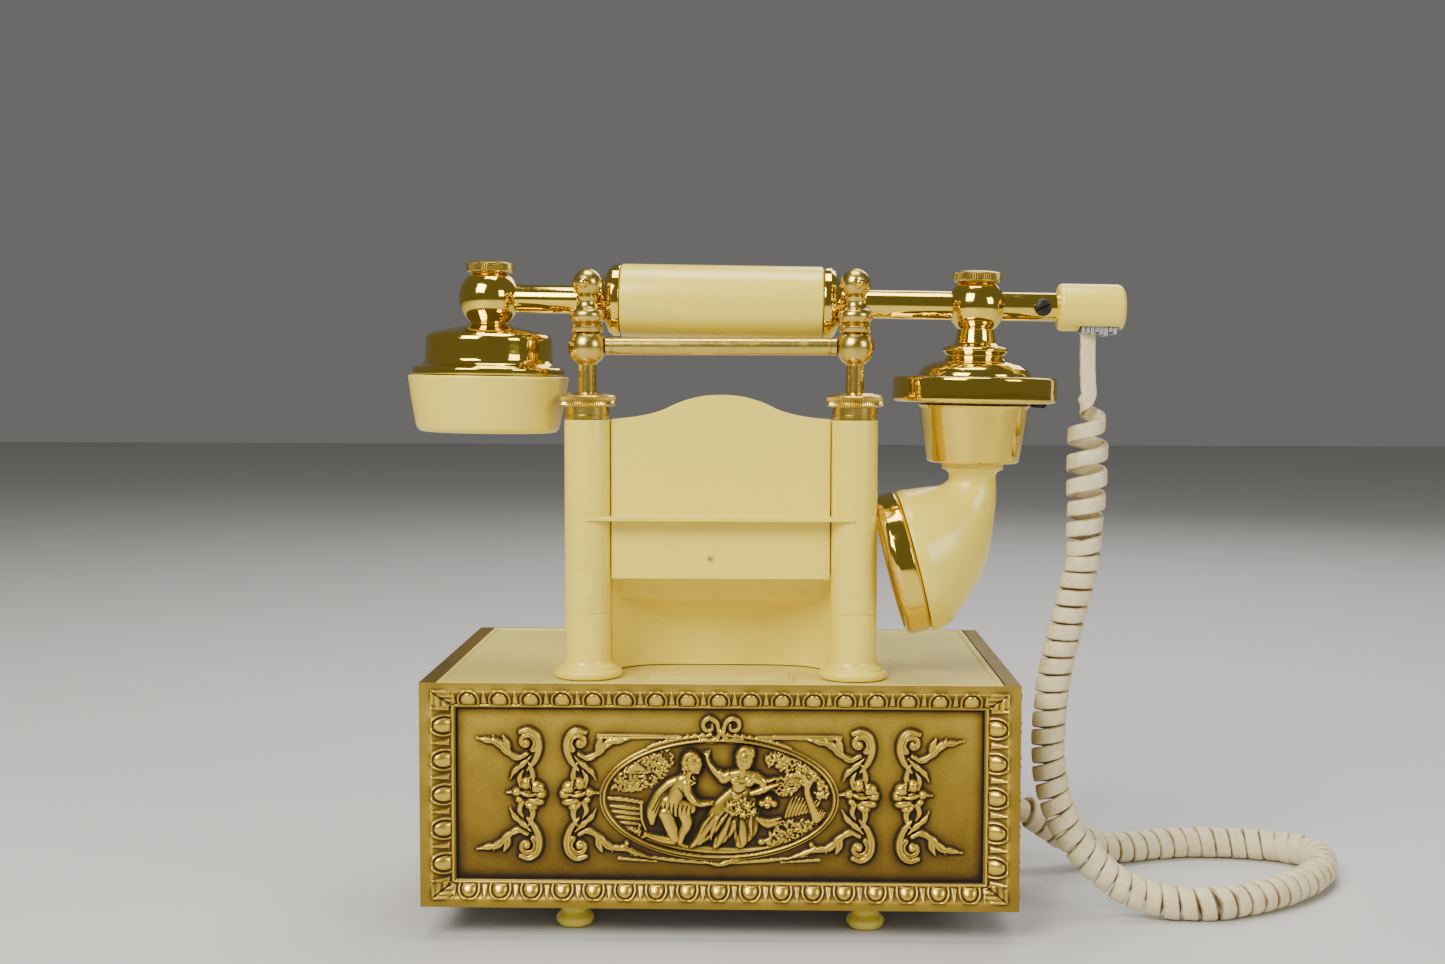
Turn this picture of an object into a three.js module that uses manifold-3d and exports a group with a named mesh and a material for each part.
// French-style cradle telephone: cast gold box base, cream top with a raised dial housing,
// two hollow columns that carry a spring-loaded cradle, and a handset of brass and cream plastic.
// Millimetres. Helpers work in box coordinates: x from the box's middle, y from its rear face
// (the face behind the user), z from the underside of the box. The root group moves that to the
// part's frame: x and y centred on the whole object, z = 0 at the soles of the feet.
import * as THREE from 'three';
import { mergeVertices } from 'three/addons/utils/BufferGeometryUtils.js';
import Module from 'manifold-3d';

const wasm = await Module();
wasm.setup();

// ---- driving dimensions -------------------------------------------------------------------
const GAP = 0.3;                 // clearance between pieces that touch
const BOX_W = 230;
const BOX_D = 152;
const BOX_H = 87.2;
const FOOT_H = 13;
const FOOT_R = 7.5;
const WALL = 5.7;                // thickness of the cast frames
const BAND = 4.4;                // plain outer band of each frame
const MOULD = 9;                 // width of the sloping moulding
const MOULD_DROP = 3.4;          // how far the moulding slopes inward
const COVER_T = 2.6;
const COL_X = 52;                // column axes either side of the middle
const COL_Y = 20;
const COL_R = 9;
const COL_TOP = 187.6;
const BASE_RING_R = 13.4;        // turned ring at each column's foot
const SHAFT_R = 3.5;
const SHAFT_BORE = 3.9;
const PLATE_T = 9.4;             // arched plate between the columns
const PLATE_LOW = 125.5;
const LEDGE_Z = 148.6;
const ROD_R = 5.6;
const ROD_Y = 34;
const ROD_Z = 233.8;             // rod axis at the middle of the phone
const ROD_TILT = 0.85 * Math.PI / 180;
const GRIP_R = 14.4;
const GRIP_HALF = 39.7;
const RECEIVER_OUT = 40.2;       // from the left column's axis out to the receiver's
const RECEIVER_X = -(COL_X + RECEIVER_OUT);
const CAP_R = 31.7;
const MIC_OUT = 48.3;            // from the right column's axis out to the transmitter's
const MIC_X = COL_X + MIC_OUT;
const MOUTH_LEAN = 74.6;         // how far the horn's mouth turns from facing down, degrees
const PLUG_R = 9.3;              // cord cap at the rod's end
const PLUG_OUT = 31.9;           // from the transmitter's axis out to the cord cap
const PLUG_LEN = 25.9;
const PLUG_X0 = MIC_X + PLUG_OUT;
const PLUG_X1 = PLUG_X0 + PLUG_LEN;
const DIAL_R = 38;
const HOLE_EDGE = 9;             // from the wheel's edge in to the finger holes' centres
const HOLE_WEB = 2.09;           // metal left between neighbouring finger holes
const HOLE_FIRST = 55;           // angle of the first finger hole, degrees
const HOLE_STEP = 26.5;
const HOLE_PITCH_R = DIAL_R - HOLE_EDGE;
const HOLE_R = HOLE_PITCH_R * Math.sin(HOLE_STEP * Math.PI / 360) - HOLE_WEB / 2;
const STOP_ANGLE = -38;
const DIAL_TILT = 48 * Math.PI / 180;
const HOUSING_IN = 6;            // how far the housing's sides stand inside the column axes
const HOUSING_HALF = COL_X - HOUSING_IN;
const SLOPE_TOP = [30.5, 187.2];  // y, z of the sloped face's upper edge
const SLOPE_LEN = 127;
const CORD_R = 6.7;
const STRIP_R = 2.4;
const ROUNDNESS = 0.5;          // scales every round piece's number of facets

const rodZ = (x) => ROD_Z - Math.tan(ROD_TILT) * x;

// ---- finishes -----------------------------------------------------------------------------
const mat = (color, roughness, metalness) => new THREE.MeshStandardMaterial({ color, roughness, metalness });
const CREAM = () => mat(0xe2d49a, 0.35, 0);
const GOLD = () => mat(0xc9973a, 0.2, 1);
const SATIN = () => mat(0xb98d3c, 0.4, 1);
const CAST = () => mat(0x9a7434, 0.5, 0.9);
const STEEL = () => mat(0x9a9a96, 0.4, 1);
const DARK = () => mat(0x26221e, 0.5, 0.1);
const COPPER = () => mat(0xa9613a, 0.45, 0.8);
const IVORY = () => mat(0xd8cda8, 0.6, 0);

const root = new THREE.Group();
root.name = 'french_phone';

function put(name, geometry, material, parent = root) {
  const mesh = new THREE.Mesh(geometry, material);
  mesh.name = name;
  parent.add(mesh);
  return mesh;
}

// ---- geometry helpers ---------------------------------------------------------------------
function solid(geometry) {
  const g = geometry.clone();
  g.deleteAttribute('normal');
  g.deleteAttribute('uv');
  const merged = mergeVertices(g, 1e-4);
  const index = merged.index;
  return new wasm.Manifold(new wasm.Mesh({
    numProp: 3,
    vertProperties: new Float32Array(merged.attributes.position.array),
    triVerts: new Uint32Array(index.array),
  }));
}

function geometryOf(manifold) {
  const mesh = manifold.getMesh();
  const g = new THREE.BufferGeometry();
  g.setAttribute('position', new THREE.BufferAttribute(new Float32Array(mesh.vertProperties), 3));
  g.setIndex(new THREE.BufferAttribute(new Uint32Array(mesh.triVerts), 1));
  g.computeVertexNormals();
  return g;
}

// a solid of revolution about z; the profile may run either way and closes on its first point
function lathe(points, segments = 32) {
  const ring = points.map(([r, z]) => new THREE.Vector2(r, z));
  if (THREE.ShapeUtils.area(ring) < 0) ring.reverse();
  const first = ring[0];
  const last = ring[ring.length - 1];
  if (first.x > 0 || last.x > 0) ring.push(first.clone());
  const facets = Math.max(10, 2 * Math.round(segments * ROUNDNESS / 2));
  return new THREE.LatheGeometry(ring, facets).rotateX(Math.PI / 2);
}

// points of a circular arc in a profile, angles in degrees
function arc(cx, cy, r, from, to, steps) {
  const points = [];
  const count = Math.max(2, Math.round(steps * ROUNDNESS));
  for (let i = 0; i <= count; i += 1) {
    const a = (from + (to - from) * i / count) * Math.PI / 180;
    points.push([cx + r * Math.cos(a), cy + r * Math.sin(a)]);
  }
  return points;
}

function boxBetween(x0, x1, y0, y1, z0, z1) {
  const g = new THREE.BoxGeometry(x1 - x0, y1 - y0, z1 - z0);
  return g.translate((x0 + x1) / 2, (y0 + y1) / 2, (z0 + z1) / 2);
}

function cylinderZ(x, y, r, z0, z1, segments = 24) {
  const g = new THREE.CylinderGeometry(r, r, z1 - z0, segments).rotateX(Math.PI / 2);
  return g.translate(x, y, (z0 + z1) / 2);
}

// rings of points joined into one skin; a closed loft joins its last ring to its first
function loft(rings, closed) {
  const n = rings[0].length;
  const positions = rings.flat(2);
  const index = [];
  const quad = (a, b, c, d) => index.push(a, b, c, a, c, d);
  const last = closed ? rings.length : rings.length - 1;
  for (let r = 0; r < last; r += 1) {
    const s = (r + 1) % rings.length;
    for (let i = 0; i < n; i += 1) {
      const j = (i + 1) % n;
      quad(r * n + i, r * n + j, s * n + j, s * n + i);
    }
  }
  if (!closed) {
    const top = (rings.length - 1) * n;
    for (let i = 1; i < n - 1; i += 1) {
      index.push(0, i + 1, i);
      index.push(top, top + i, top + i + 1);
    }
  }
  const g = new THREE.BufferGeometry();
  g.setAttribute('position', new THREE.Float32BufferAttribute(positions, 3));
  g.setIndex(index);
  g.computeVertexNormals();
  return g;
}

// prism along x from a side profile given as [y, z] points
function prismX(points, x0, x1) {
  const shape = new THREE.Shape(points.map(([y, z]) => new THREE.Vector2(y, z)));
  const g = new THREE.ExtrudeGeometry(shape, { depth: x1 - x0, bevelEnabled: false });
  const m = new THREE.Matrix4().set(0, 0, 1, x0, 1, 0, 0, 0, 0, 1, 0, 0, 0, 0, 0, 1);
  return g.applyMatrix4(m);
}

// prism along y from a front profile given as a THREE.Shape in x, z
function prismY(shape, y0, y1, curveSegments = 12) {
  const g = new THREE.ExtrudeGeometry(shape, { depth: y1 - y0, bevelEnabled: false, curveSegments });
  return g.rotateX(Math.PI / 2).translate(0, y1, 0);
}

function tubeAlong(points, r, sides, steps, tension = 0.5) {
  const path = new THREE.CatmullRomCurve3(points.map((p) => new THREE.Vector3(...p)), false,
    'catmullrom', tension);
  const shape = new THREE.Shape();
  for (let i = 0; i < sides; i += 1) {
    const a = i / sides * Math.PI * 2;
    if (i === 0) shape.moveTo(r, 0);
    else shape.lineTo(r * Math.cos(a), r * Math.sin(a));
  }
  return new THREE.ExtrudeGeometry(shape, { extrudePath: path, steps, bevelEnabled: false });
}

// ---- box base -----------------------------------------------------------------------------
// one mitred frame, drawn as if it faced -y, half-width w
function frameGeometry(w, top) {
  const low = 0;
  const rect = (half, z0, z1, y) => [[-half, y, z0], [half, y, z0], [half, y, z1], [-half, y, z1]];
  const ring = (inset, y) => rect(w - inset, low + inset * 0.75, BOX_H - inset * 0.75 - (BOX_H - top), y);
  const inner = BAND + MOULD;
  const lip = inner - GAP * 2;
  return loft([
    rect(w - WALL - GAP, low, top, WALL),
    rect(w, low, top, 0),
    ring(BAND, 0),
    ring(inner, MOULD_DROP),
    ring(lip, WALL),
  ], true);
}

function panelGeometry(w, top) {
  const inset = BAND + MOULD - 3;
  const z0 = inset * 0.75;
  return boxBetween(-w + inset, w - inset, WALL - 1, WALL + 1.6, z0, top - z0);
}

function buildBase() {
  const notchTop = BOX_H - COVER_T - GAP;
  const notch = solid(boxBetween(-BOX_W / 2 + WALL, BOX_W / 2 - WALL, -1, WALL + 3, notchTop, BOX_H + 1));
  ['rear', 'right', 'front', 'left'].forEach((side, turn) => {
    const long = turn % 2 === 0;
    const width = long ? BOX_W : BOX_D;
    let wall = solid(frameGeometry(width / 2, BOX_H)).add(solid(panelGeometry(width / 2, BOX_H)));
    if (long) wall = wall.subtract(notch);
    if (side === 'right') {
      const bore = new THREE.CylinderGeometry(GLAND_BORE, GLAND_BORE, 20, 24);
      wall = wall.subtract(solid(bore.translate(GLAND_Y - BOX_D / 2, 5, GLAND_Z)));
    }
    const reach = (long ? BOX_D : BOX_W) / 2;
    const g = geometryOf(wall).translate(0, -reach, 0).rotateZ(turn * Math.PI / 2);
    put(`side_${side}`, g.translate(0, BOX_D / 2, 0), CAST());
  });
  const inX = BOX_W / 2 - WALL - GAP;
  const inY = WALL + GAP + 1.6;
  const plate = solid(boxBetween(-inX + 1.6, inX - 1.6, inY, BOX_D - inY, 0, 2.4));
  const inlet = solid(cylinderZ(INLET_X, INLET_Y, 5, -1, 4));
  put('base_plate', geometryOf(plate.subtract(inlet)), STEEL());
  put('line_inlet_grommet', lathe([[2.6, -0.9], [7, -0.9], [7, -0.3], [4.7, -0.3], [4.7, 3.4], [2.6, 3.4]], 24)
    .translate(INLET_X, INLET_Y, 0), DARK());
  const feet = [[-57.5, 22], [57.5, 22], [-57.5, BOX_D - 22], [57.5, BOX_D - 22]];
  feet.forEach(([x, y], i) => {
    const profile = [[0, -FOOT_H], [4.6, -FOOT_H], ...arc(4.6, -FOOT_H + 3, 2.9, -80, 20, 3),
      [5.4, -7.2], [5.2, -5.6], [FOOT_R, -4.2], [FOOT_R, -GAP], [0, -GAP]];
    put(`foot_${i + 1}`, lathe(profile, 24).translate(x, y, 0), CREAM());
  });
}
const GLAND_BORE = 8.2;
const GLAND_Y = 101;
const GLAND_Z = 21.5;
const INLET_X = -84;
const INLET_Y = 136;

function buildCover() {
  const z0 = BOX_H - COVER_T;
  const half = BOX_W / 2 - WALL - GAP;
  const rect = (inset, z) => [[-half + inset, 0.6 + inset, z], [half - inset, 0.6 + inset, z],
    [half - inset, BOX_D - 0.6 - inset, z], [-half + inset, BOX_D - 0.6 - inset, z]];
  const slab = loft([rect(0, z0), rect(0, BOX_H - 0.5), rect(0.5, BOX_H), rect(2.6, BOX_H), rect(3, BOX_H - 0.5)],
    false);
  let cover = solid(slab);
  for (const side of [-1, 1]) cover = cover.subtract(solid(cylinderZ(side * COL_X, COL_Y, SHAFT_BORE, 60, 100)));
  cover = cover.subtract(solid(boxBetween(-40, 40, 56, 108, 60, 100)));
  const top = BOX_H - 0.8;
  const step = (inset, z) => [[-28.3 + inset, 4 + inset, z], [28.3 - inset, 4 + inset, z],
    [28.3 - inset, 22 - inset, z], [-28.3 + inset, 22 - inset, z]];
  const plaque = loft([step(0, top), step(0, top + 1.5), step(1.6, top + 1.5), step(1.6, top + 2.3),
    step(2, top + 2.5)], false);
  put('top_cover', geometryOf(cover.add(solid(plaque))), CREAM());
}

// ---- columns ------------------------------------------------------------------------------
function buildColumn(side, word) {
  const x = side * COL_X;
  const floor = BOX_H - 0.5 + GAP;
  const at = (g) => g.translate(x, COL_Y, 0);
  const low = floor + 5;
  put(`column_${word}`, at(lathe([[SHAFT_BORE, floor], [BASE_RING_R - 0.8, floor], [BASE_RING_R, floor + 1.5],
    [BASE_RING_R - 0.8, floor + 3], [11.4, floor + 3],
    [11.4, floor + 4.4], [10.4, low], [COL_R, low], [COL_R, COL_TOP], [SHAFT_BORE, COL_TOP]])), CREAM());
  const nut = COL_TOP + GAP;
  put(`collar_nut_${word}`, at(lathe([[SHAFT_BORE, nut], [8.6, nut], [8.6, nut + 4.7], [10.4, nut + 4.9],
    [10.9, nut + 5.4], [10.9, nut + 8.6], [10.4, nut + 9.1], [6.4, nut + 10.2], [SHAFT_BORE, nut + 10.3]], 40)), SATIN());
}

// ---- spring cradle ------------------------------------------------------------------------
const BALL_Z = 215.8;
const BRIDGE_Z = 20;
function buildCradle() {
  for (const [side, word] of [[-1, 'left'], [1, 'right']]) {
    const x = side * COL_X;
    const profile = [[0, BRIDGE_Z], [SHAFT_R, BRIDGE_Z], [SHAFT_R, BALL_Z - 6.6],
      ...arc(0, BALL_Z, 7.45, -60, 58, 9), [4.9, 222.2], [6.4, 222.4], [6.5, 223.5], [5.4, 224],
      [6.5, 225], ...arc(6, 226.7, 0.9, -60, 60, 3), [6, 228.2], [4.3, 229.6], [4.2, 231.4], [4.6, 234.6],
      ...arc(0, 240.3, 5.8, -52, 90, 9).slice(0, -1), [0, 246.1]];
    const button = lathe([[0, -1.5], [2.1, -1.5], [2.1, 1], ...arc(0, 1, 2.1, 8, 80, 4), [0, 3.1]], 16)
      .rotateX(Math.PI / 2).translate(side * 1.2, -5.5, 240.3);
    const post = solid(lathe(profile, 28)).add(solid(button));
    put(`cradle_post_${word}`, geometryOf(post).translate(x, COL_Y, 0), SATIN());
    const low = rodZ(x) - ROD_R - GAP - 2.8;
    const out = side * 1.4;
    const route = [[x, 27.3, low], [x, 31, low], [x + out * 0.3, 35.5, low + 0.1], [x + out, 41, low + 2.2],
      [x + out * 1.9, 44.8, low + 7], [x + out * 2.5, 46, low + 12.2]];
    const tip = lathe([[0, -3.9], [2.2, -3.7], ...arc(0, 0, 3.9, -50, 60, 7), [1.6, 4.2], [0, 4.9]], 20)
      .translate(x + out * 2.7, 46.3, low + 14.6);
    put(`saddle_arm_${word}`, geometryOf(solid(tubeAlong(route, 2.8, 8, 10)).add(solid(tip))), SATIN());
  }
  const reach = COL_X - 7.45 - GAP;
  put('cradle_crossbar', new THREE.CylinderGeometry(3.45, 3.45, reach * 2, 24).rotateZ(Math.PI / 2)
    .translate(0, COL_Y, BALL_Z + 0.3), SATIN());
  put('hook_bridge', boxBetween(-COL_X - 5, COL_X + 5, COL_Y - 5, COL_Y + 5, BRIDGE_Z - 5, BRIDGE_Z - GAP), STEEL());
  const turns = 4;
  const coil = [];
  for (let i = 0; i <= turns * 8; i += 1) {
    const a = i / 8 * Math.PI * 2;
    coil.push([6 * Math.cos(a), COL_Y + 6 * Math.sin(a), 3.6 + i / (turns * 8) * (BRIDGE_Z - 5 - 4.5)]);
  }
  put('hook_spring', tubeAlong(coil, 0.7, 5, turns * 8), STEEL());
}

// ---- hook switch and ringer, inside the box -------------------------------------------------
const LEVER_OUT = 22;             // from the right column's axis out to the lever's pivot
const LEVER_X = COL_X + LEVER_OUT;
function buildInsides() {
  const floor = 2.4 + GAP;
  const bracket = solid(boxBetween(LEVER_X - 8, LEVER_X + 18, 12, 16, floor, 26))
    .add(solid(boxBetween(LEVER_X - 8, LEVER_X + 18, 12, 34, floor, floor + 2)))
    .add(solid(boxBetween(LEVER_X + 8, LEVER_X + 16, 15, 24, 16, 25)));
  put('switch_bracket', geometryOf(bracket), STEEL());
  const pivot = solid(cylinderZ(0, 0, 3, -2, 2).rotateX(Math.PI / 2).translate(LEVER_X, 19, 12.7));
  put('switch_lever', geometryOf(solid(boxBetween(LEVER_X - 18.5, LEVER_X + 6, 17, 21, 11.2, 14.2)).add(pivot)), COPPER());
  let ringer = solid(boxBetween(-100, -22, 38, 126, floor, floor + 2));
  for (const [word, y] of [['rear', 52], ['front', 112]]) {
    const outer = arc(0, 30, 25, 12, 78, 7).map(([r, z]) => [r, 26 + (z - 30) * 0.5]);
    const inner = outer.map(([r, z]) => [r - 1.3, z - 1.2]).reverse();
    put(`gong_${word}`, lathe([...outer, [3.4, 38.6], [2.1, 38.6], [2.1, 37], ...inner], 32).translate(-78, y, 0), COPPER());
    const post = lathe([[0, floor + 1], [6, floor + 1], [6, 32], [1.8, 36.7], [1.8, 39.6], [0, 39.6]], 16);
    ringer = ringer.add(solid(post.translate(-78, y, 0)));
  }
  const stud = lathe([[0, floor + 1], [3.2, floor + 1], [3.2, 27], [1.4, 27.6], [1.4, 29.6], [0, 29.6]], 14);
  ringer = ringer.add(solid(stud.translate(-32, 82, 0)));
  put('ringer_frame', geometryOf(ringer), STEEL());
  put('ringer_coil', lathe([[0, 0], [9, 0], [9, 1.5], [7.6, 1.8], [7.6, 22.2], [9, 22.5], [9, 24], [0, 24]], 24)
    .translate(-32, 104, floor + 2 + GAP), COPPER());
  put('clapper', geometryOf(solid(boxBetween(-40, -24, 79.5, 84.5, 30, 33))
    .add(solid(new THREE.CylinderGeometry(1.1, 1.1, 44, 10).rotateZ(Math.PI / 2).translate(-59, 82, 31.5)))
    .add(solid(new THREE.SphereGeometry(2.6, 14, 10).translate(-79, 82, 31.5)))), STEEL());
  const block = solid(boxBetween(24, 92, 84, 134, floor, 34)).add(solid(boxBetween(30, 86, 68, 85, floor, 14)));
  put('network_box', geometryOf(block), DARK());
}

// ---- arched plate, ledge and dial housing ---------------------------------------------------
const PLATE_HALF = COL_X - COL_R - GAP - 0.1;
const PLATE_Y = 18.2;
function buildPlate() {
  const shape = new THREE.Shape();
  shape.moveTo(-PLATE_HALF, PLATE_LOW);
  shape.lineTo(PLATE_HALF, PLATE_LOW);
  shape.lineTo(PLATE_HALF, 187.8);
  shape.bezierCurveTo(34, 188.2, 25, 189.8, 20, 192.6);
  shape.bezierCurveTo(13, 196, 7, 197.2, 0, 197.2);
  shape.bezierCurveTo(-7, 197.2, -13, 196, -20, 192.6);
  shape.bezierCurveTo(-25, 189.8, -34, 188.2, -PLATE_HALF, 187.8);
  const plate = solid(prismY(shape, PLATE_Y, PLATE_Y + PLATE_T, 6));
  const reach = COL_R + GAP;
  const ledge = new THREE.Shape();
  const back = PLATE_Y + 1;
  const a0 = Math.asin((back - COL_Y) / reach);
  ledge.moveTo(-COL_X, COL_Y - reach - 0.5);
  ledge.lineTo(COL_X, COL_Y - reach - 0.5);
  ledge.absarc(COL_X, COL_Y, reach, -Math.PI / 2, Math.PI - a0, true);
  ledge.absarc(-COL_X, COL_Y, reach, a0, -Math.PI / 2, true);
  const g = new THREE.ExtrudeGeometry(ledge, { depth: 1.6, bevelEnabled: false, curveSegments: 10 });
  put('arched_plate', geometryOf(plate.add(solid(g.translate(0, 0, LEDGE_Z)))), CREAM());
}

const slopeDir = [Math.cos(DIAL_TILT), -Math.sin(DIAL_TILT)];
const SLOPE_LOW = [SLOPE_TOP[0] + SLOPE_LEN * slopeDir[0], SLOPE_TOP[1] + SLOPE_LEN * slopeDir[1]];
const WELL_R = DIAL_R - 4;        // opening in the housing behind the dial
const DIAL_AT = 64;               // dial centre, measured down the slope
const DIAL_Y = SLOPE_TOP[0] + DIAL_AT * slopeDir[0];
const DIAL_Z = SLOPE_TOP[1] + DIAL_AT * slopeDir[1];
// dial-local z is the slope's outward normal, local y points up the slope
function onDial(geometry) {
  return geometry.rotateZ(Math.PI).rotateX(-DIAL_TILT).translate(0, DIAL_Y, DIAL_Z);
}

function buildHousing() {
  const floor = BOX_H - 0.5 + GAP;
  const rearY = PLATE_Y + PLATE_T + GAP;
  const side = [[rearY, floor], [rearY, SLOPE_TOP[1] - 2.5], [rearY + 1.2, SLOPE_TOP[1]], SLOPE_TOP, SLOPE_LOW,
    [SLOPE_LOW[0] + 1.5, SLOPE_LOW[1] - 2], [SLOPE_LOW[0] + 1.5, floor]];
  const T = 3;
  const nicheY = 50;
  const cove = (inset) => [[-5, floor - 5], [nicheY + inset, floor - 5], [nicheY + inset, 98],
    ...arc(rearY + 4, 98, nicheY - rearY - 4 + inset, 0, 78, 6), [rearY + 2, PLATE_LOW + 2 + inset], [-5, PLATE_LOW + 2 + inset]];
  const inner = [[rearY + T, floor - 2], [rearY + T, SLOPE_TOP[1] - 6], [SLOPE_TOP[0] + 3, SLOPE_TOP[1] - T * 1.9],
    [SLOPE_LOW[0] - T * 0.9, SLOPE_LOW[1] - T * 0.9], [SLOPE_LOW[0] - T * 0.9, floor - 2]];
  let body = solid(prismX(side, -HOUSING_HALF, HOUSING_HALF));
  const nicheHalf = HOUSING_HALF - 2.6;
  const hollow = solid(prismX(inner, -HOUSING_HALF + T, HOUSING_HALF - T))
    .subtract(solid(prismX(cove(2.6), -HOUSING_HALF - 1, HOUSING_HALF + 1)));
  body = body.subtract(hollow);
  body = body.subtract(solid(prismX(cove(0), -nicheHalf, nicheHalf)));
  for (const s of [-1, 1]) {
    body = body.subtract(solid(cylinderZ(s * COL_X, COL_Y, COL_R + GAP, 60, 210)));
    body = body.subtract(solid(cylinderZ(s * COL_X, COL_Y, BASE_RING_R + GAP, 60, floor + 5 + GAP)));
  }
  const well = onDial(new THREE.CylinderGeometry(WELL_R, WELL_R, 30, 40).rotateX(Math.PI / 2));
  put('dial_housing', geometryOf(body.subtract(solid(well))), CREAM());
}

// ---- rotary dial ----------------------------------------------------------------------------
const BEZEL_R = DIAL_R + GAP * 2;
const STOP_R = BEZEL_R + 5.8;     // outer end of the finger stop
function buildDial() {
  put('dial_bezel', onDial(lathe([[BEZEL_R, GAP], [BEZEL_R + 4.4, GAP], [BEZEL_R + 4.4, 1.4], ...arc(BEZEL_R + 3, 2.2, 1.3, 0, 150, 4),
    [BEZEL_R + 1, 2], [BEZEL_R, 1.4]], 48)), GOLD());
  put('number_plate', onDial(lathe([[6.6, GAP], [BEZEL_R - GAP, GAP], [BEZEL_R - GAP, 1.3], [6.6, 1.3]], 48)), IVORY());
  const disc = new THREE.Shape();
  disc.absarc(0, 0, DIAL_R, 0, Math.PI * 2);
  for (let i = 0; i < 10; i += 1) {
    const a = (HOLE_FIRST + i * HOLE_STEP) * Math.PI / 180;
    const hole = new THREE.Path();
    hole.absarc(HOLE_PITCH_R * Math.cos(a), HOLE_PITCH_R * Math.sin(a), HOLE_R, 0, Math.PI * 2, true);
    disc.holes.push(hole);
  }
  const centre = new THREE.Path();
  centre.absarc(0, 0, 4, 0, Math.PI * 2, true);
  disc.holes.push(centre);
  const wheel = new THREE.ExtrudeGeometry(disc, { depth: 1.8, bevelEnabled: false, curveSegments: 7 });
  put('finger_wheel', onDial(wheel.translate(0, 0, 4.2)), GOLD());
  put('centre_card', onDial(lathe([[0, 6.3], [18, 6.3], [18, 7.2], [17.2, 8], [0, 8]], 36)), IVORY());
  put('dial_spindle', onDial(lathe([[0, -14], [3.7, -14], [3.7, -10], [17, -10], [17, -8], [11, -8], [11, -4.4],
    [3.7, -4.4], [3.7, 6], [0, 6]], 32)), STEEL());
  const stop = new THREE.Shape();
  stop.moveTo(STOP_R, -3);
  stop.lineTo(STOP_R, 3);
  stop.lineTo(STOP_R - 8.4, 3.2);
  stop.quadraticCurveTo(STOP_R - 16.4, 4.2, STOP_R - 20.4, 0);
  stop.quadraticCurveTo(STOP_R - 15.4, -1.5, STOP_R - 8.4, -2.6);
  const arm = new THREE.ExtrudeGeometry(stop, { depth: 1.1, bevelEnabled: false, curveSegments: 5 })
    .translate(0, 0, 8.4 - 2.1);
  const post = boxBetween(STOP_R - 1, STOP_R + 1, -3, 3, GAP, 7.4);
  put('finger_stop', onDial(geometryOf(solid(arm).add(solid(post))).rotateZ(STOP_ANGLE * Math.PI / 180)), SATIN());
  const ring = solid(lathe([[6.6, -4], [WELL_R - 4, -4], [WELL_R - 4, -1.5], [WELL_R - 1, -1.5],
    [WELL_R - 1, -0.2], [6.6, -0.2]], 32))
    .add(solid(boxBetween(-27, -20, -12, 6, -14, -3)));
  put('dial_chassis', onDial(geometryOf(ring)), STEEL());
  put('governor', onDial(lathe([[0, -24], [1.2, -24], [1.2, -21], [5.5, -21], [5.5, -18], [1.2, -18], [1.2, -12.5],
    [0, -12.5]], 18).rotateX(Math.PI / 2).translate(22, 8, -13)), COPPER());
}

// ---- handset --------------------------------------------------------------------------------
// built level about the rod, then the whole group is tilted
function buildHandset() {
  const set = new THREE.Group();
  set.name = 'handset';
  set.position.set(0, ROD_Y, ROD_Z);
  set.rotation.y = ROD_TILT;
  root.add(set);
  const bore = ROD_R + GAP;
  const alongX = (g) => g.rotateY(Math.PI / 2);
  const rodEnd = PLUG_X0 + 8;
  put('handset_rod', alongX(lathe([[0, RECEIVER_X - 2], [ROD_R, RECEIVER_X - 2], [ROD_R, rodEnd], [0, rodEnd]], 28)), GOLD(), set);
  put('handset_grip', alongX(lathe([[bore, -GRIP_HALF], [GRIP_R - 0.6, -GRIP_HALF], [GRIP_R, -GRIP_HALF + 0.6],
    [GRIP_R, GRIP_HALF - 0.6], [GRIP_R - 0.6, GRIP_HALF], [bore, GRIP_HALF]], 40)), CREAM(), set);
  const ferrule = [[bore, 0], [13.9, 0], [13.9, 3.4], [13.2, 3.7], [12.7, 4.6], [10.2, 6.2], [8.2, 7.2], [bore, 7.4]];
  put('ferrule_right', alongX(lathe(ferrule.map(([r, z]) => [r, z + GRIP_HALF + GAP]), 36)), GOLD(), set);
  put('ferrule_left', alongX(lathe(ferrule.map(([r, z]) => [r, -z - GRIP_HALF - GAP]).reverse(), 36)), GOLD(), set);
  buildReceiver(set);
  buildTransmitter(set);
  buildCordCap(set, rodEnd);
}

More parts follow.
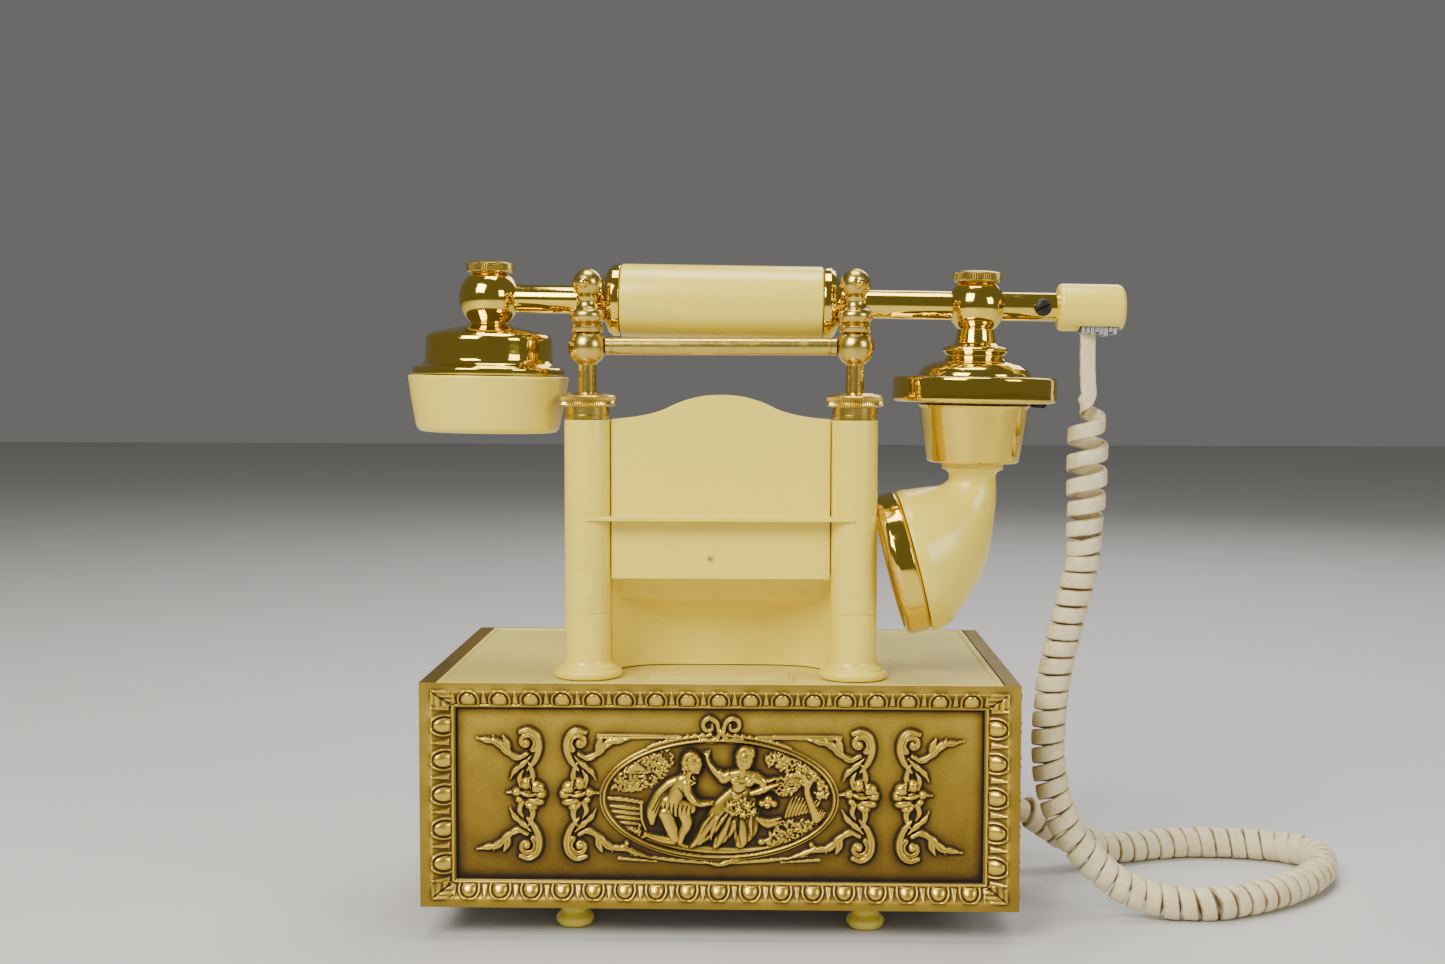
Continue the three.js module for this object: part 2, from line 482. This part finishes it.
function buildReceiver(set) {
  const at = (g) => g.translate(RECEIVER_X, 0, 0);
  const socket = new THREE.CylinderGeometry(ROD_R + GAP, ROD_R + GAP, 40, 28).rotateZ(Math.PI / 2).translate(17.7, 0, 0);
  put('receiver_nut', at(lathe([[0, 10.1], [8.6, 10.1], [9.2, 10.6], [9.2, 13.5], [8.6, 14], [4, 14.8], [0, 15]], 36)), SATIN(), set);
  const rim = -30.4;
  const cup = lathe([[0, 9.8], [7.2, 9.8], ...arc(0, 0, 12.1, 52, -50, 10), [7.6, -10.1], [8.6, -10.6],
    [9.2, -11.4], [13, -12.6], [20, -13.3], [24, -14], [24.9, -15], [25.1, -23.2], [26.2, -26], [28.4, -27.2],
    [30.1, -27.6], [30.1, rim], [26.4, rim], [26.4, -29], [22.6, -24], [22.6, -15.8], [0, -14.4]], 44);
  put('receiver_cup', at(geometryOf(solid(cup).subtract(solid(socket)))), GOLD(), set);
  put('receiver_unit', at(lathe([[0, -33.4], [21, -33.4], [25.6, -32.4], [25.6, -30], [22, -24.8], [22, -17], [0, -17]], 32)), STEEL(), set);
  const cap = rim - GAP;
  const shell = lathe([[0, -50.6], [10, -51.2], [21, -52.6], [25, -53], [27.6, -52], [28.6, -50], [30.4, -40],
    [CAP_R, cap - 1.2], [CAP_R, cap], [27.4, cap], [27.4, -34], [0, -34]].map(([r, z]) => [r, z]), 48);
  let body = solid(shell);
  for (let i = 0; i < 7; i += 1) {
    const a = i * Math.PI / 3;
    const r = i === 6 ? 0 : 6;
    body = body.subtract(solid(cylinderZ(r * Math.cos(a), r * Math.sin(a), 1.1, -60, -30, 6)));
  }
  put('receiver_cap', at(geometryOf(body)), CREAM(), set);
}

function buildTransmitter(set) {
  const at = (g) => g.translate(MIC_X, 0, 0);
  const socket = new THREE.CylinderGeometry(ROD_R + GAP, ROD_R + GAP, 60, 28).rotateZ(Math.PI / 2);
  const crown = lathe([[0, 9], [7.4, 9], ...arc(0, 0, 11.5, 50, -51, 12), [7.3, -9.4], [7.8, -12.6],
    [8.4, -14.8], [12, -16.4], [12.9, -17.4], [12, -18.6], [11.3, -20.2], [13, -21.6], [18.6, -23.4],
    [21.8, -26], [22.4, -27.6], [0, -27.6]], 36);
  put('transmitter_crown', at(geometryOf(solid(crown).subtract(solid(socket)))), GOLD(), set);
  put('transmitter_nut', at(lathe([[0, 9.3], [8.8, 9.3], [9.4, 9.8], [9.4, 12.6], [8.8, 13.2], [4, 13.9], [0, 14]], 36)), SATIN(), set);
  put('transmitter_drum', at(lathe([[0, -27.9], [31.2, -27.9], [32.2, -28.6], [32.2, -37], [31, -37.9], [22.5, -38.3],
    [22.5, -32.5], [0, -32.5]], 48)), GOLD(), set);
  put('transmitter_unit', at(lathe([[0, -42], [17.2, -42], [20.4, -40], [21.6, -38], [21.6, -33], [0, -33]], 28)), STEEL(), set);
  put('transmitter_cone', at(lathe([[11, -61.7], [17.2, -61.7], [18.2, -60.8], [21.6, -39.6], [22.4, -38.7],
    [17.6, -43.4], [14.6, -58.4], [11, -59]], 40)), GOLD(), set);
  buildHorn(set, at);
}

// the mouthpiece horn: a tube whose round section turns and grows from its neck to its mouth
function buildHorn(set, at) {
  const stations = [[0, -62, 12.1, 0], [0, -64.2, 12.1, 0], [0, -64.6, 10.9, 0], [0, -66.5, 9.2, 0],
    [0, -71.3, 9.9, 14.4], [-1.7, -77.6, 12.5, 32.7], [-4.8, -83.8, 17.2, 45], [-8.7, -89.4, 21.4, 53.2],
    [-13.1, -94.6, 24.9, 61], [-17.8, -99.2, 27.9, 68.6], [-21.1, -101.2, 28.7, 73], [-22.4, -100.8, 28.2, MOUTH_LEAN]];
  const ring = ([x, z, r, lean], wall) => {
    const a = lean * Math.PI / 180;
    const points = [];
    for (let i = 0; i < 24; i += 1) {
      const t = i / 24 * Math.PI * 2;
      const u = (r - wall) * Math.cos(t);
      points.push([x + u * Math.cos(a), (r - wall) * Math.sin(t), z - u * Math.sin(a)]);
    }
    return points;
  };
  const outer = stations.map((s) => ring(s, 0));
  const inner = stations.filter((s, i) => i !== 2).map((s) => ring(s, 2.6)).reverse();
  put('mouth_horn', at(loft([...outer, ...inner].reverse(), true)), CREAM(), set);
  const lean = (MOUTH_LEAN - 180) * Math.PI / 180;
  const mouth = (g) => g.rotateY(lean).translate(-22.4, 0, -100.8);
  const ringBody = solid(lathe([[25, 0.4], [27.6, 0.4], [27.9, 1.2], [28.4, 1.4], [28.5, 7.6], [27.6, 9.4],
    [25.8, 10.2], [24.6, 9.6], [24.4, 3], [25, 2]], 44));
  const disc = new THREE.Shape();
  disc.absarc(0, 0, 25, 0, Math.PI * 2);
  for (let k = 0; k < 7; k += 1) {
    const r = k < 6 ? 12 : 0;
    const a = k * Math.PI / 3;
    const hole = new THREE.Path();
    hole.absarc(r * Math.cos(a), r * Math.sin(a), 1.6, 0, Math.PI * 2, true);
    disc.holes.push(hole);
  }
  const grille = new THREE.ExtrudeGeometry(disc, { depth: 1.2, bevelEnabled: false, curveSegments: 3 });
  const mouthGeo = geometryOf(ringBody.add(solid(grille.translate(0, 0, 7.8))));
  put('mouth_ring', at(mouth(mouthGeo)), GOLD(), set);
}

function buildCordCap(set, rodEnd) {
  const shell = lathe([[0, PLUG_X0 - 0.1], [PLUG_R - 1.6, PLUG_X0 - 0.1], [PLUG_R, PLUG_X0 + 1.6], [PLUG_R, PLUG_X1 - 4],
    ...arc(PLUG_R - 4, PLUG_X1 - 4, 4, 20, 80, 4), [0, PLUG_X1]], 32).rotateY(Math.PI / 2);
  const pocket = lathe([[0, PLUG_X0 - 4], [ROD_R + GAP, PLUG_X0 - 4], [ROD_R + GAP, rodEnd + GAP], [0, rodEnd + GAP]], 28)
    .rotateY(Math.PI / 2);
  const slot = boxBetween(PLUG_X0 + 7.5, PLUG_X1 - 2.6, -3.4, 3.4, -12, 3);
  put('cord_cap', geometryOf(solid(shell).subtract(solid(pocket)).subtract(solid(slot))), CREAM(), set);
}

// ---- handset cord ---------------------------------------------------------------------------
// the lead hangs from the cord cap, the coiled stretch runs down, loops on the table and comes
// back to the gland in the box's right side
const LEAD = [[144.2, 34, 223.4], [144.2, 34, 212], [144.4, 34, 201], [145, 34, 190]];
const COIL = [[145, 34, 189.4], [144.6, 34.5, 172], [144.6, 34.5, 156], [144, 35, 144], [143.7, 36, 132],
  [140.1, 36.5, 116], [136.4, 37.5, 100], [133.4, 38, 84.5], [131.7, 38.5, 68.4], [131.5, 38.5, 52.3],
  [134.1, 38, 36.2], [140.3, 37.5, 21.4], [150, 37, 9.6], [160.5, 36.4, 1], [172, 36, -4], [184.6, 35, -6.1],
  [199.5, 35.6, -6.1], [215, 43.5, -6.1], [230, 54, -6.1], [244, 68, -6.1], [254.5, 84, -6.1], [260, 100, -6.1],
  [259, 114.5, -6.1], [251, 123.5, -6.1], [239, 128, -6.1], [225, 130.4, -6.1], [210, 130.8, -6.1],
  [195, 127.4, -6.1], [180, 121.6, -6.1], [166, 115.8, -4.4], [153, 110.4, 0.6], [142, 106, 7.6], [134, 103, 13.4]];
const TAIL = [[133.4, 102.8, 13.9], [127, 101.4, 18], [120.5, 101, 21], [116.2, 101, 21.5], [112, 101, 21.5]];
function buildCord() {
  const shift = GLAND_Y - 101;
  const move = (points) => points.map(([x, y, z]) => [x, y + shift, z]);
  put('cord_lead', tubeAlong(LEAD, STRIP_R, 8, 8), IVORY());
  put('cord_coil', tubeAlong(COIL, CORD_R, 8, 60), IVORY());
  put('cord_tail', tubeAlong(move(TAIL), STRIP_R, 8, 8), IVORY());
  const gland = lathe([[3.2, 0], [7.8, 0], [7.8, 3.4], [10, 3.4], [9.6, 5], [7, 6.6], [3.2, 6.8]], 24);
  put('cord_gland', gland.rotateY(Math.PI / 2).translate(BOX_W / 2 - WALL - 2, GLAND_Y, GLAND_Z), DARK());
}

buildBase();
buildCover();
buildColumn(-1, 'left');
buildColumn(1, 'right');
buildPlate();
buildHousing();
buildDial();
buildCradle();
buildInsides();
buildHandset();

// the frame's origin is under the middle of everything but the cord, which is added after it
const reach = new THREE.Box3().setFromObject(root, true);
buildCord();
root.position.set(-(reach.min.x + reach.max.x) / 2, -(reach.min.y + reach.max.y) / 2, -reach.min.z);

export default root;
